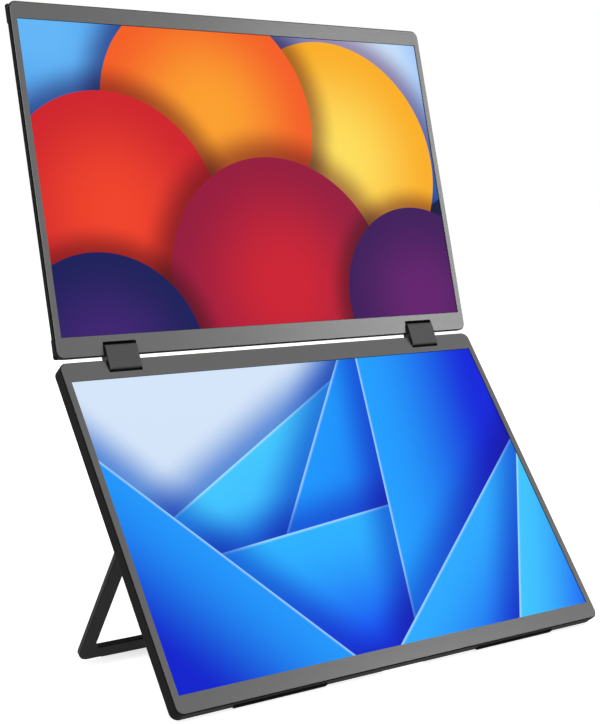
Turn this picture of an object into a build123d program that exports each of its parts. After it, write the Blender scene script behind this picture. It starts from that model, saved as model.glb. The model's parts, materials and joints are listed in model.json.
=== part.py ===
from build123d import *

import math
import os

# A dual portable monitor: two stacked displays joined by two-axis hinge blocks, on a folding stand.
# X runs across, -Y faces the viewer and +Z is up. It stands on Z = 0. Lengths are millimetres.

# How it stands at rest: leans from vertical, degrees
lower_lean = 36.6
upper_lean = 14.8
link_lean = (lower_lean + upper_lean) / 2

# Outline of both displays and the picture that each shows
active_width = 344.6
active_height = 215.4
bezel_beside = 5.3
bezel_outer = 12.2
bezel_at_hinge = 14.4
bezel_margin = 0.9
shell_lip = 0.7
bezel_width = active_width + 2 * bezel_beside
bezel_height = active_height + bezel_outer + bezel_at_hinge
bezel_corner = 5.0
panel_width = bezel_width + 2 * shell_lip
panel_height = bezel_height + 2 * shell_lip
panel_corner = bezel_corner + shell_lip
upper_thickness = 6.0
lower_thickness = 11.0
picture_shift = (bezel_at_hinge - bezel_outer) / 2

# Fits
overrun = 1.0
fit_gap = 0.1
running_gap = 0.03
moving_gap = 0.3

# Shells, bezels and screens, in order of depth behind the front
shell_wall = 1.2
shell_edge = 2.0
bezel_thickness = 0.8
lcd_margin = 2.0
lcd_thickness = 1.2
backlight_thickness = 2.0
backlight_back = bezel_thickness + lcd_thickness + backlight_thickness
lower_screen_room = 0.2
lower_floor = 1.3
deep_floor = lower_thickness - lower_floor

# Two-axis hinge
axis_spacing = 11.4
axis_inset = 4.0
axis_depth = 3.0
hinge_inset = 47.5
hinge_place = panel_width / 2 - hinge_inset
block_width = 24.5
block_front = 5.2
block_back = 3.0
block_end = 3.0
block_round = 2.0
block_back_round = 0.8
block_cheek = 3.0
block_cap_wall = 1.0
block_edge = 0.4
cap_front = 0.4
cap_round = 0.8
notch_side_gap = 0.5
notch_swing_gap = 0.4
notch_corner = 0.8
well_wall = 1.0
shaft_radius = 1.2
shaft_end_gap = 0.4
sleeve_wall = 0.75
sleeve_length = 14.0
sleeve_key = 1.6
plate_thickness = 0.7
cavity_front = 2.6

# Steel brackets that hold the shafts inside the displays
bracket_length = 16.0
knuckle_half = 1.65
knuckle_reach = 2.0
leaf_reach = 6.0
leaf_thickness = 1.2
screw_radius = 0.9
screw_head_radius = 1.6
screw_head = 0.9
screw_bite = 0.7
leaf_screw_pitch = 9.0

# Folding stand
stand_inset = 9.3
stand_half_width = panel_width / 2 - stand_inset
stand_bar = 10.5
stand_thickness = 4.0
stand_corner = 8.0
stand_inner_corner = 4.0
stand_edge = 0.6
pivot_drop = 121.2
pivot_cover = 0.2
recess_floor = 6.4
recess_gap = 0.5
recess_head = 3.6
recess_wall = 2.5
pivot_depth = recess_floor + pivot_cover + stand_thickness / 2
stand_pin_radius = 1.1
stand_pin_end = 0.4
stand_bracket_length = 11.9
stand_bracket_height = 4.0
stand_bracket_below = 3.0
stand_ear = 8.0
stand_ear_thickness = 1.6
finger_width = 36.0

# Rubber
strip_height = 1.4
strip_thickness = 3.0
strip_inset = 19.0
strip_half_length = stand_half_width - strip_inset
strip_flat = 0.5
foot_height = 0.9
foot_inset = 1.2
foot_width = 4.4
foot_length = 70.0
foot_end_inset = 43.3
foot_place = panel_width / 2 - foot_end_inset - foot_length / 2
foot_flat = 0.45
pad_length = 14.0
pad_width = 8.0
pad_height = 1.8
pad_inset = 0.6
pad_edge = 0.6

# Main board and what is on it
board_width = 78.6
board_rise = 95.0
board_room = 4.7
board_thickness = 1.0
chip_size = 14.0
chip_height = 1.4
shield_width = 30.0
shield_depth = 24.0
shield_height = 2.4
shield_wall = 0.3
usb_width = 8.94
usb_height = 3.16
usb_length = 7.4
usb_low_step = 8.0
usb_high_step = 24.0
hdmi_width = 11.2
hdmi_height = 3.2
hdmi_length = 7.6
hdmi_bevel = 1.0
hdmi_step = 42.0
socket_wall = 0.35
socket_recess = 0.4
socket_back = 0.6
tongue_thickness = 0.7
tongue_side = 1.2
tongue_short = 1.0
socket_gap = 0.15
jack_step = 57.0
jack_length = 13.0
jack_width = 6.4
jack_height = 4.3
jack_bore = 1.8
jack_depth = 11.0
board_screw_inset = 4.0
chip_place_shares = ((0.2, 0.25), (0.2, 0.62))
shield_place_shares = (0.52, 0.45)

# Buttons on the right side
minus_step = 68.0
plus_step = 79.0
power_step = 90.0
button_length = 8.0
button_height = 2.2
button_proud = 0.5
button_travel = 0.5
button_depth = 7.2
flange_extra = 0.5
flange_thickness = 0.9
flange_gap = 0.2
switch_size = 3.6
switch_height = 2.9
switch_length = 4.0
switch_gap = 0.2

# Speakers, driver boards and the slots in the lower shell
speaker_length = 44.0
speaker_width = 16.0
speaker_edge = 1.5
speaker_end_inset = 46.3
speaker_low_inset = 24.7
speaker_place = panel_width / 2 - speaker_end_inset - speaker_length / 2
speaker_rise = speaker_low_inset + speaker_width / 2 - panel_height / 2
slot_length = 10.0
slot_width = 1.6
slot_pitch = 3.4
speaker_slots = 10
vent_slots = 24
vent_inset = 24.7
vent_rise = panel_height / 2 - vent_inset - slot_length / 2
driver_length = 180.0
driver_width = 9.0
driver_thickness = 0.6
upper_driver_rise = -70.0
lower_driver_rise = -50.0

# Sizes that follow from those above
window_width = active_width + 2 * bezel_margin
window_height = active_height + 2 * bezel_margin
lcd_width = active_width + 2 * lcd_margin
lcd_height = active_height + 2 * lcd_margin
block_height = axis_spacing + 2 * block_end
block_swing = block_round + math.hypot(block_front - block_round, block_end - block_round)
notch_depth = axis_inset + block_swing + notch_swing_gap
cap_reach = block_swing + notch_swing_gap - moving_gap
cap_back = block_back - block_back_round
notch_width = block_width + 2 * notch_side_gap
upper_floor = axis_depth + knuckle_half
pivot_height = panel_height / 2 - pivot_drop
stand_reach = panel_height - pivot_drop - recess_wall - recess_gap
stand_length = stand_reach - strip_height
bar_top = pivot_height - stand_length + stand_bar
deep_low = bar_top + recess_gap + shell_wall
deep_high = panel_height / 2 - notch_depth - 2 * well_wall
leg_inner = stand_half_width - stand_bar
pocket_side = leg_inner - moving_gap - stand_bracket_length
board_front = deep_floor - board_thickness
inner_side = panel_width / 2 - shell_wall
board_right = inner_side - flange_gap - flange_thickness - button_travel - switch_gap
recess_low = pivot_height - stand_reach - recess_gap
recess_top = pivot_height + recess_head
wide_low = recess_top + shell_wall
board_left = board_right - board_width
board_low = wide_low + board_room
board_high = board_low + board_rise
usb_places = [board_low + usb_low_step, board_low + usb_high_step]
hdmi_place = board_low + hdmi_step
jack_place = board_low + jack_step
button_places = {
    "minus_button": board_low + minus_step,
    "plus_button": board_low + plus_step,
    "power_button": board_low + power_step,
}
bracket_above = recess_head - moving_gap
ear_low = pivot_height - stand_bracket_below - stand_ear
ear_middle = ear_low + stand_ear / 2
screen_floor = backlight_back + lower_screen_room
sides = {"left": -1, "right": 1}


def leaning_plane(point, lean):
    """Plane of a leaning front: X across, Y up the slope, Z towards the viewer."""
    slope = math.radians(lean)
    return Plane(point, x_dir=(1, 0, 0), z_dir=(0, -math.cos(slope), math.sin(slope)))


def across_plane(point, x, lean):
    """Plane square to X at a point: its X runs to the rear, its Y up the slope."""
    slope = math.radians(lean)
    place = (x, point.Y, point.Z)
    return Plane(place, x_dir=(0, math.cos(slope), -math.sin(slope)), z_dir=(1, 0, 0))


# Where the displays stand: rubber feet on the floor, hinge axes one above the other
lower_tilt = leaning_plane((0, 0, 0), lower_lean)
upper_tilt = leaning_plane((0, 0, 0), upper_lean)
link_tilt = leaning_plane((0, 0, 0), link_lean)
foot_corner = lower_tilt.from_local_coords(
    (0, -panel_height / 2 - foot_height, foot_inset - lower_thickness)
)
to_lower_axis = lower_tilt.from_local_coords((0, panel_height / 2 - axis_inset, -axis_depth))
to_upper_axis = link_tilt.from_local_coords((0, axis_spacing, 0))
to_upper_centre = upper_tilt.from_local_coords((0, panel_height / 2 - axis_inset, axis_depth))
pad_corner = (0, panel_height / 2 - pad_inset, -upper_thickness - pad_height)
front_reach = lower_tilt.from_local_coords((0, -bezel_height / 2, 0)).Y
upper_reach = upper_tilt.from_local_coords(pad_corner).Y
back_reach = (to_lower_axis + to_upper_axis + to_upper_centre).Y + upper_reach
lower_centre = Vector(0, -(front_reach + back_reach) / 2, -foot_corner.Z - foot_flat)
lower_axis = lower_centre + to_lower_axis
upper_axis = lower_axis + to_upper_axis
upper_centre = upper_axis + to_upper_centre
link_centre = (lower_axis + upper_axis) / 2
lower_front = leaning_plane(lower_centre, lower_lean)
upper_front = leaning_plane(upper_centre, upper_lean)

# The stand's lean at rest puts the cut corner of its rubber strip on the floor
pivot = lower_front.from_local_coords((0, pivot_height, -pivot_depth))
strip_swing = math.hypot(stand_reach, strip_thickness / 2)
strip_angle = math.atan2(strip_thickness / 2, stand_reach)
stand_lean = -math.degrees(strip_angle + math.acos((pivot.Z + strip_flat) / strip_swing))
stand_middle = leaning_plane(pivot, stand_lean)

os.makedirs("parts", exist_ok=True)


def write(builder, label):
    """Label one finished piece and write it out."""
    builder.part.label = label
    export_step(builder.part, f"parts/{label}.step")


def notch_places(hinge_edge):
    """Where the hinge notches meet a display's top edge (1) or bottom edge (-1)."""
    return [(side * hinge_place, hinge_edge * panel_height / 2) for side in sides.values()]


def shell_outside(front, thickness):
    """Solid outline of a rear shell, with its rear edges rounded."""
    with BuildSketch(front.offset(-thickness)) as outline:
        RectangleRounded(panel_width, panel_height, panel_corner)
    extrude(outline.sketch, amount=thickness - bezel_thickness)
    rear = faces().sort_by(Axis(front.origin, front.z_dir))[0]
    fillet(rear.edges(), shell_edge)


def shell_inside(front, hinge_edge, floor):
    """Hollow a rear shell from its front, leaving walls round the hinge notches."""
    inner_size = (panel_width - 2 * shell_wall, panel_height - 2 * shell_wall, panel_corner - shell_wall)
    with BuildSketch(front.offset(-floor)) as room:
        RectangleRounded(*inner_size)
        with Locations(*notch_places(hinge_edge)):
            Rectangle(notch_width + 2 * well_wall, 2 * (notch_depth + well_wall), mode=Mode.SUBTRACT)
    extrude(room.sketch, amount=floor, mode=Mode.SUBTRACT)


def shell_notches(front, hinge_edge, thickness, axis):
    """Cut the hinge notches through a rear shell, and bore their inner walls for the shafts."""
    with BuildSketch(front.offset(-thickness - overrun)) as notches:
        with Locations(*notch_places(hinge_edge)):
            RectangleRounded(notch_width, 2 * notch_depth, notch_corner)
    extrude(notches.sketch, amount=thickness + 2 * overrun, mode=Mode.SUBTRACT)
    for side in sides.values():
        wall_middle = side * (hinge_place - notch_width / 2 - well_wall / 2)
        with BuildSketch(across_plane(axis, wall_middle, link_lean)) as bore:
            Circle(shaft_radius + moving_gap)
        extrude(bore.sketch, amount=well_wall, both=True, mode=Mode.SUBTRACT)


def bracket_middle(side):
    """Where the middle of a hinge bracket lies across the display."""
    return side * (hinge_place - notch_width / 2 - well_wall - fit_gap - bracket_length / 2)


def bracket_screw_places(hinge_edge, side):
    """Where the two screws of one hinge bracket stand on the display's front plane."""
    row = hinge_edge * (panel_height / 2 - axis_inset - (knuckle_reach + leaf_reach) / 2)
    return [(bracket_middle(side) + step * leaf_screw_pitch / 2, row) for step in (-1, 1)]


def all_bracket_screws(hinge_edge):
    """Where all the hinge bracket screws of one display stand."""
    return bracket_screw_places(hinge_edge, -1) + bracket_screw_places(hinge_edge, 1)


def screw_holes(seat, places, amount):
    """Drill holes for screws from a seat plane, by an amount along its normal."""
    with BuildSketch(seat) as holes:
        with Locations(*places):
            Circle(screw_radius + running_gap)
    extrude(holes.sketch, amount=amount, mode=Mode.SUBTRACT)


def screw_group(seat, places, facing, length):
    """Pan-head screws on a seat plane, their heads in front of it (1) or behind it (-1)."""
    with BuildSketch(seat) as heads:
        with Locations(*places):
            Circle(screw_head_radius)
    extrude(heads.sketch, amount=facing * screw_head)
    with BuildSketch(seat) as shanks:
        with Locations(*places):
            Circle(screw_radius)
    extrude(shanks.sketch, amount=-facing * length)


def rod(axis, start, end, radius, mode=Mode.ADD):
    """Round rod or bore along X through an axis point."""
    with BuildSketch(across_plane(axis, start, link_lean)) as section:
        Circle(radius)
    extrude(section.sketch, amount=end - start, mode=mode)


def side_plane(x, rise, depth):
    """Plane square to X at a place on the lower display: X to its rear, Y up its slope."""
    return across_plane(lower_front.from_local_coords((0, rise, -depth)), x, lower_lean)


def front_bezel(front, hinge_edge):
    """Flat frame round the picture, on the shell's rim and a lip short of its edge."""
    with BuildSketch(front.offset(-bezel_thickness)) as frame:
        RectangleRounded(bezel_width, bezel_height, bezel_corner)
        with Locations((0, -hinge_edge * picture_shift)):
            Rectangle(window_width, window_height, mode=Mode.SUBTRACT)
        with Locations(*notch_places(hinge_edge)):
            RectangleRounded(notch_width, 2 * notch_depth, notch_corner, mode=Mode.SUBTRACT)
    extrude(frame.sketch, amount=bezel_thickness)


def flat_sheet(front, depth, thickness, width, height, rise):
    """Flat sheet behind the front, such as a screen or a board."""
    with BuildSketch(front.offset(-depth - thickness)) as sheet:
        with Locations((0, rise)):
            Rectangle(width, height)
    extrude(sheet.sketch, amount=thickness)


def hinge_bracket(front, hinge_edge, side, axis):
    """Steel bracket: a knuckle that grips a shaft, and a leaf that is screwed to the shell."""
    middle = bracket_middle(side)
    edge = panel_height / 2 - axis_inset
    with BuildSketch(front.offset(-upper_floor)) as knuckle:
        with Locations((middle, hinge_edge * edge)):
            Rectangle(bracket_length, 2 * knuckle_reach)
    extrude(knuckle.sketch, amount=2 * knuckle_half)
    with BuildSketch(front.offset(-upper_floor)) as leaf:
        with Locations((middle, hinge_edge * (edge - (knuckle_reach + leaf_reach) / 2))):
            Rectangle(bracket_length, leaf_reach - knuckle_reach)
    extrude(leaf.sketch, amount=leaf_thickness)
    rod(axis, middle - bracket_length, middle + bracket_length, shaft_radius + running_gap, Mode.SUBTRACT)
    screw_holes(front.offset(-upper_floor), bracket_screw_places(hinge_edge, side), leaf_thickness)


def socket(rise, length, outer, inner, middle_depth):
    """Hollow metal socket with a back wall, opening on the right side."""
    mouth = panel_width / 2 - socket_recess
    with BuildSketch(side_plane(mouth - length, rise, middle_depth)) as outside:
        outer()
    extrude(outside.sketch, amount=length)
    with BuildSketch(side_plane(mouth - length + socket_back, rise, middle_depth)) as hollow:
        inner()
    extrude(hollow.sketch, amount=length, mode=Mode.SUBTRACT)


def tongue(rise, length, socket_width, middle_depth):
    """Flat tongue that stands on a socket's back wall and stops short of its mouth."""
    start = panel_width / 2 - socket_recess - length + socket_back
    with BuildSketch(side_plane(start, rise, middle_depth)) as outline:
        Rectangle(tongue_thickness, socket_width - 2 * tongue_side)
    extrude(outline.sketch, amount=length - socket_back - tongue_short)


def usb_outline(grow):
    """Outline of a reversible socket, grown by a gap or shrunk by a wall."""
    SlotOverall(usb_width + 2 * grow, usb_height + 2 * grow, rotation=90)


def hdmi_outline(grow):
    """Outline of the video socket: a rectangle whose two rear corners are bevelled."""
    Rectangle(hdmi_height + 2 * grow, hdmi_width + 2 * grow)
    chamfer(vertices().group_by(Axis.X)[-1], hdmi_bevel)


usb_depth = board_front - usb_height / 2
hdmi_depth = board_front - hdmi_height / 2
jack_middle = deep_floor - jack_height / 2

# Upper display
with BuildPart() as upper_rear_cover:
    shell_outside(upper_front, upper_thickness)
    shell_inside(upper_front, -1, upper_floor)
    shell_notches(upper_front, -1, upper_thickness, upper_axis)
    screw_holes(upper_front.offset(-upper_floor), all_bracket_screws(-1), -screw_bite - fit_gap)
write(upper_rear_cover, "upper_rear_cover")

with BuildPart() as upper_front_bezel:
    front_bezel(upper_front, -1)
write(upper_front_bezel, "upper_front_bezel")

with BuildPart() as upper_screen:
    flat_sheet(upper_front, bezel_thickness, lcd_thickness, lcd_width, lcd_height, picture_shift)
write(upper_screen, "upper_screen")

with BuildPart() as upper_backlight:
    light_depth = bezel_thickness + lcd_thickness
    flat_sheet(upper_front, light_depth, backlight_thickness, lcd_width, lcd_height, picture_shift)
write(upper_backlight, "upper_backlight")

with BuildPart() as upper_driver_board:
    flat_sheet(
        upper_front, backlight_back, driver_thickness, driver_length, driver_width, upper_driver_rise
    )
write(upper_driver_board, "upper_driver_board")

with BuildPart() as upper_bracket_screws:
    leaf_seat = upper_front.offset(leaf_thickness - upper_floor)
    screw_group(leaf_seat, all_bracket_screws(-1), 1, leaf_thickness + screw_bite)
write(upper_bracket_screws, "upper_bracket_screws")

# Corner pads that wrap the rear edges of the upper shell
with BuildPart() as upper_outside:
    shell_outside(upper_front, upper_thickness)

with BuildPart() as upper_corner_pads:
    with BuildSketch(upper_front.offset(shell_edge - upper_thickness)):
        with GridLocations(
            panel_width - 2 * pad_inset - pad_width, panel_height - 2 * pad_inset - pad_length, 2, 2
        ):
            RectangleRounded(pad_width, pad_length, pad_width / 2 - pad_edge)
    extrude(amount=-shell_edge - pad_height)
    pad_ends = upper_corner_pads.faces().group_by(Axis(upper_centre, upper_front.z_dir))[0]
    fillet(pad_ends.edges(), pad_edge)
    add(upper_outside.part, mode=Mode.SUBTRACT)
write(upper_corner_pads, "upper_corner_pads")

# Lower display's shell: room for the boards, a recess for the stand, slots for air and sound
with BuildPart() as lower_rear_cover:
    shell_outside(lower_front, lower_thickness)
    shell_inside(lower_front, 1, screen_floor)
    shell_notches(lower_front, 1, lower_thickness, lower_axis)
    # Seats for the hinge brackets
    seat_height = axis_inset + leaf_reach + fit_gap - shell_wall
    seat_row = panel_height / 2 - shell_wall - seat_height / 2
    with BuildSketch(lower_front.offset(-upper_floor)):
        with Locations(*[(bracket_middle(side), seat_row) for side in sides.values()]):
            Rectangle(bracket_length + 2 * fit_gap, seat_height)
    extrude(amount=upper_floor - bezel_thickness, mode=Mode.SUBTRACT)
    screw_holes(lower_front.offset(-upper_floor), all_bracket_screws(1), -screw_bite - fit_gap)
    # Deep room for boards and speakers
    with BuildSketch(lower_front.offset(-deep_floor)):
        with Locations((0, (deep_low + wide_low) / 2)):
            Rectangle(2 * (pocket_side - fit_gap - shell_wall), wide_low - deep_low)
        with Locations((0, (wide_low + deep_high) / 2)):
            Rectangle(2 * inner_side, deep_high - wide_low)
    extrude(amount=deep_floor - bezel_thickness, mode=Mode.SUBTRACT)
    # Recess that the folded stand lies in, with pockets for its pivot brackets
    recess_inner = leg_inner - recess_gap
    pocket_width = leg_inner - pocket_side + fit_gap
    pocket_low = ear_low - fit_gap
    with BuildSketch(lower_front.offset(-recess_floor)) as recess:
        with Locations((0, (recess_low + recess_top) / 2)):
            Rectangle(2 * (stand_half_width + recess_gap), recess_top - recess_low)
        fillet(recess.vertices().group_by(Axis.Y)[0], stand_corner)
        with Locations((0, bar_top + recess_gap + recess_top - bar_top)):
            RectangleRounded(
                2 * recess_inner,
                2 * (recess_top - bar_top),
                stand_inner_corner - recess_gap,
                mode=Mode.SUBTRACT,
            )
        with Locations(
            *[
                (side * (pocket_side - fit_gap + pocket_width / 2), (pocket_low + recess_top) / 2)
                for side in sides.values()
            ]
        ):
            Rectangle(pocket_width, recess_top - pocket_low)
    extrude(amount=-lower_thickness, mode=Mode.SUBTRACT)
    # Finger notch at the bottom edge, under the stand's bar
    with BuildSketch(lower_front.offset(-pivot_depth)):
        with Locations((0, -panel_height / 2)):
            Rectangle(finger_width, 2 * (recess_low + panel_height / 2 + overrun))
    extrude(amount=-lower_thickness, mode=Mode.SUBTRACT)
    # Stand screws, board screws
    stand_screw_places = [
        (side * (pocket_side + stand_bracket_length / 2), ear_middle) for side in sides.values()
    ]
    screw_holes(lower_front.offset(-recess_floor), stand_screw_places, screw_bite + fit_gap)
    board_screw_places = [
        (x, y)
        for x in (board_left + board_screw_inset, board_right - jack_length - board_screw_inset)
        for y in (board_low + board_screw_inset, board_high - board_screw_inset)
    ]
    screw_holes(lower_front.offset(-deep_floor), board_screw_places, -screw_bite - fit_gap)
    # Openings in the right side for sockets and buttons
    for place in usb_places:
        with BuildSketch(side_plane(inner_side - overrun, place, usb_depth)):
            usb_outline(socket_gap)
        extrude(amount=shell_wall + 2 * overrun, mode=Mode.SUBTRACT)
    with BuildSketch(side_plane(inner_side - overrun, hdmi_place, hdmi_depth)):
        hdmi_outline(socket_gap)
    extrude(amount=shell_wall + 2 * overrun, mode=Mode.SUBTRACT)
    with BuildSketch(side_plane(inner_side - overrun, jack_place, jack_middle)):
        Circle(jack_bore + fit_gap)
    extrude(amount=shell_wall + 2 * overrun, mode=Mode.SUBTRACT)
    for place in button_places.values():
        with BuildSketch(side_plane(inner_side - overrun, place, button_depth)):
            SlotOverall(button_length + 2 * moving_gap, button_height + 2 * moving_gap, rotation=90)
        extrude(amount=shell_wall + 2 * overrun, mode=Mode.SUBTRACT)
    # Slots over the speakers and under the top edge
    with BuildSketch(lower_front.offset(-deep_floor)):
        with Locations((-speaker_place, speaker_rise), (speaker_place, speaker_rise)):
            with GridLocations(slot_pitch, 0, speaker_slots, 1):
                SlotOverall(slot_length, slot_width, rotation=90)
        with Locations((0, vent_rise)):
            with GridLocations(slot_pitch, 0, vent_slots, 1):
                SlotOverall(slot_length, slot_width, rotation=90)
    extrude(amount=-lower_thickness, mode=Mode.SUBTRACT)
write(lower_rear_cover, "lower_rear_cover")

with BuildPart() as lower_front_bezel:
    front_bezel(lower_front, 1)
write(lower_front_bezel, "lower_front_bezel")

with BuildPart() as lower_screen:
    flat_sheet(lower_front, bezel_thickness, lcd_thickness, lcd_width, lcd_height, -picture_shift)
write(lower_screen, "lower_screen")

with BuildPart() as lower_backlight:
    flat_sheet(lower_front, light_depth, backlight_thickness, lcd_width, lcd_height, -picture_shift)
write(lower_backlight, "lower_backlight")

with BuildPart() as lower_driver_board:
    flat_sheet(
        lower_front, backlight_back, driver_thickness, driver_length, driver_width, lower_driver_rise
    )
write(lower_driver_board, "lower_driver_board")

with BuildPart() as lower_bracket_screws:
    leaf_seat = lower_front.offset(leaf_thickness - upper_floor)
    screw_group(leaf_seat, all_bracket_screws(1), 1, leaf_thickness + screw_bite)
write(lower_bracket_screws, "lower_bracket_screws")

with BuildPart() as lower_feet:
    with BuildSketch(lower_front.offset(foot_inset - lower_thickness)):
        foot_middle = -panel_height / 2 - foot_height / 2
        with Locations((-foot_place, foot_middle), (foot_place, foot_middle)):
            Rectangle(foot_length, foot_height)
    extrude(amount=foot_width)
    split(bisect_by=Plane.XY, keep=Keep.TOP)
write(lower_feet, "lower_feet")

# Boards, sockets, switches and speakers in the lower display
jack_notch = jack_length + moving_gap - (inner_side - board_right)
chip_places = [
    (board_left + across * board_width, board_low + up * board_rise)
    for across, up in chip_place_shares
]
with BuildPart() as main_board:
    with BuildSketch(lower_front.offset(-deep_floor)):
        with Locations((board_left + board_width / 2, board_low + board_rise / 2)):
            Rectangle(board_width, board_rise)
        with Locations((board_right, jack_place)):
            Rectangle(2 * jack_notch, jack_width + 2 * moving_gap, mode=Mode.SUBTRACT)
    extrude(amount=board_thickness)
    with BuildSketch(lower_front.offset(-board_front)):
        with Locations(*chip_places):
            Rectangle(chip_size, chip_size)
    extrude(amount=chip_height)
    screw_holes(lower_front.offset(-deep_floor), board_screw_places, board_thickness)
write(main_board, "main_board")

with BuildPart() as board_shield:
    shield_place = (
        board_left + shield_place_shares[0] * board_width,
        board_low + shield_place_shares[1] * board_rise,
    )
    with BuildSketch(lower_front.offset(-board_front)):
        with Locations(shield_place):
            Rectangle(shield_width, shield_depth)
    extrude(amount=shield_height)
    with BuildSketch(lower_front.offset(-board_front)):
        with Locations(shield_place):
            Rectangle(shield_width - 2 * shield_wall, shield_depth - 2 * shield_wall)
    extrude(amount=shield_height - shield_wall, mode=Mode.SUBTRACT)
write(board_shield, "board_shield")

with BuildPart() as board_screws:
    screw_group(lower_front.offset(-board_front), board_screw_places, 1, board_thickness + screw_bite)
write(board_screws, "board_screws")

with BuildPart() as usb_c_sockets:
    for place in usb_places:
        socket(
            place,
            usb_length,
            lambda: usb_outline(0),
            lambda: usb_outline(-socket_wall),
            usb_depth,
        )
write(usb_c_sockets, "usb_c_sockets")

with BuildPart() as mini_hdmi_socket:
    socket(
        hdmi_place,
        hdmi_length,
        lambda: hdmi_outline(0),
        lambda: hdmi_outline(-socket_wall),
        hdmi_depth,
    )
write(mini_hdmi_socket, "mini_hdmi_socket")

with BuildPart() as socket_tongues:
    for place in usb_places:
        tongue(place, usb_length, usb_width, usb_depth)
    tongue(hdmi_place, hdmi_length, hdmi_width, hdmi_depth)
write(socket_tongues, "socket_tongues")

with BuildPart() as audio_socket:
    with BuildSketch(side_plane(inner_side - jack_length, jack_place, jack_middle)):
        Rectangle(jack_height, jack_width)
    extrude(amount=jack_length)
    with BuildSketch(side_plane(inner_side - jack_depth, jack_place, jack_middle)):
        Circle(jack_bore)
    extrude(amount=jack_depth, mode=Mode.SUBTRACT)
write(audio_socket, "audio_socket")

with BuildPart() as button_switches:
    with BuildSketch(lower_front.offset(-board_front)):
        with Locations(*[(board_right - switch_length / 2, place) for place in button_places.values()]):
            Rectangle(switch_length, switch_size)
    extrude(amount=switch_height)
write(button_switches, "button_switches")

with BuildPart() as speakers:
    with BuildSketch(lower_front.offset(-deep_floor)):
        with Locations((-speaker_place, speaker_rise), (speaker_place, speaker_rise)):
            RectangleRounded(speaker_length, speaker_width, speaker_edge)
    extrude(amount=deep_floor - screen_floor)
write(speakers, "speakers")

# Buttons on the right side, held behind the wall by a flange
flange_outer = inner_side - flange_gap
flange_grow = 2 * (moving_gap + flange_extra)
for label, place in button_places.items():
    with BuildPart() as button:
        with BuildSketch(side_plane(flange_outer - flange_thickness, place, button_depth)):
            SlotOverall(button_length + flange_grow, button_height + flange_grow, rotation=90)
        extrude(amount=flange_thickness)
        with BuildSketch(side_plane(flange_outer, place, button_depth)):
            SlotOverall(button_length, button_height, rotation=90)
        extrude(amount=flange_gap + shell_wall + button_proud)
    write(button, label)

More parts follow.
